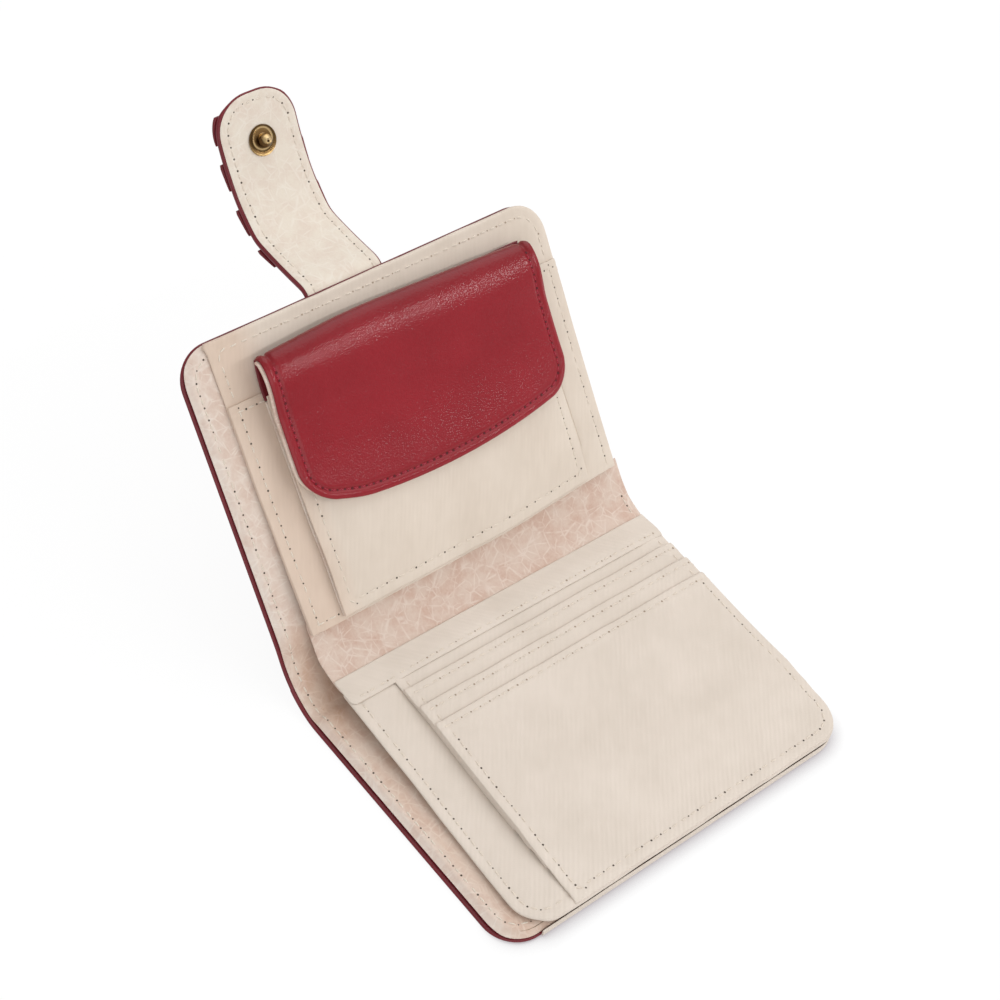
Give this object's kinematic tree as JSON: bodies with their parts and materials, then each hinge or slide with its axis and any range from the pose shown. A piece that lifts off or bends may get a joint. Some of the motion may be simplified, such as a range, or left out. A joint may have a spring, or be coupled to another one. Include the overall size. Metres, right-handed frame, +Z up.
{
  "type": "two-fold wallet with coin pouch",
  "caption": "Open two-fold wallet: red leather cover, woven card slots, slip pocket, coin pouch under a curved flap, and a banded closing strap with a snap stud.",
  "frame": {"origin": "on the card cover's flat outer face, midway across it and 40 mm from its free edge", "axes": "+Z up from the card cover, +X from the fold to the card half's free edge, +Y along the fold to the closed side of the note compartments"},
  "size_m": [0.1987, 0.118, 0.1048],
  "materials": {
    "red_leather": "dark red, fine grain, satin",
    "patterned_lining": "pink-beige cloth with a pale crossed-line pattern",
    "beige_weave": "beige, woven embossed grain, matt",
    "leather_board": "bonded leather board, out of sight",
    "light_card": "light card stiffener, out of sight",
    "antique_brass": "dark antique brass",
    "magnet_steel": "plated, out of sight"
  },
  "bodies": {
    "card_half": {"card_cover_leather": "red_leather", "card_cover_board": "leather_board", "card_cover_lining": "patterned_lining", "card_panel_backing": "leather_board", "card_panel": "beige_weave", "card_slot_1": "beige_weave", "card_slot_2": "beige_weave", "card_slot_3": "beige_weave", "card_slot_4": "beige_weave", "card_snap_socket": "antique_brass", "card_snap_eyelet": "antique_brass"},
    "spine": {"spine_leather": "red_leather", "spine_lining": "patterned_lining", "inner_spine_strip": "patterned_lining"},
    "coin_half": {"coin_cover_leather": "red_leather", "coin_cover_board": "light_card", "coin_cover_lining": "patterned_lining", "coin_panel": "beige_weave", "slip_pocket": "beige_weave", "pouch_back": "patterned_lining", "flap_root": "red_leather", "pouch_front": "beige_weave", "pouch_gusset_left": "beige_weave", "pouch_gusset_right": "beige_weave", "pouch_magnet": "magnet_steel", "strap_anchor": "red_leather"},
    "coin_flap": {"flap_leather": "red_leather", "flap_lining": "patterned_lining", "flap_magnet": "magnet_steel"},
    "strap_root": {"strap_root_leather": "red_leather", "strap_root_lining": "patterned_lining", "strap_band_4": "red_leather"},
    "strap_mid": {"strap_mid_leather": "red_leather", "strap_mid_lining": "patterned_lining", "strap_band_3": "red_leather"},
    "strap_tip": {"strap_tip_leather": "red_leather", "strap_tip_lining": "patterned_lining", "strap_band_2": "red_leather", "strap_band_1": "red_leather", "snap_stud": "antique_brass", "snap_rivet": "antique_brass"}
  },
  "joints": [
    {"name": "card_fold", "type": "hinge", "parent": "card_half", "child": "spine", "pos_m": [-0.042, 0, 0.00045], "axis": [0, 1, 0], "range_deg": [-37.1, 53.5], "deforming": ["inner_spine_strip"]},
    {"name": "coin_fold", "type": "hinge", "parent": "spine", "child": "coin_half", "pos_m": [-0.05827, 0, 0.01276], "axis": [0, 1, 0], "range_deg": [-12.2, 78.4]},
    {"name": "flap_hinge", "type": "hinge", "parent": "coin_half", "child": "coin_flap", "pos_m": [-0.10176, 0, 0.07428], "axis": [0, 1, 0], "range_deg": [-170, 0]},
    {"name": "strap_root_bend", "type": "hinge", "parent": "coin_half", "child": "strap_root", "pos_m": [-0.11337, 0, 0.07497], "axis": [0, 1, 0], "range_deg": [-40, 130.8]},
    {"name": "strap_mid_bend", "type": "hinge", "parent": "strap_root", "child": "strap_mid", "pos_m": [-0.13485, 0, 0.07497], "axis": [0, 1, 0], "range_deg": [-30, 60.6]},
    {"name": "strap_tip_bend", "type": "hinge", "parent": "strap_mid", "child": "strap_tip", "pos_m": [-0.14387, 0, 0.08167], "axis": [0, -1, 0], "range_deg": [-15, 21.6]}
  ]
}
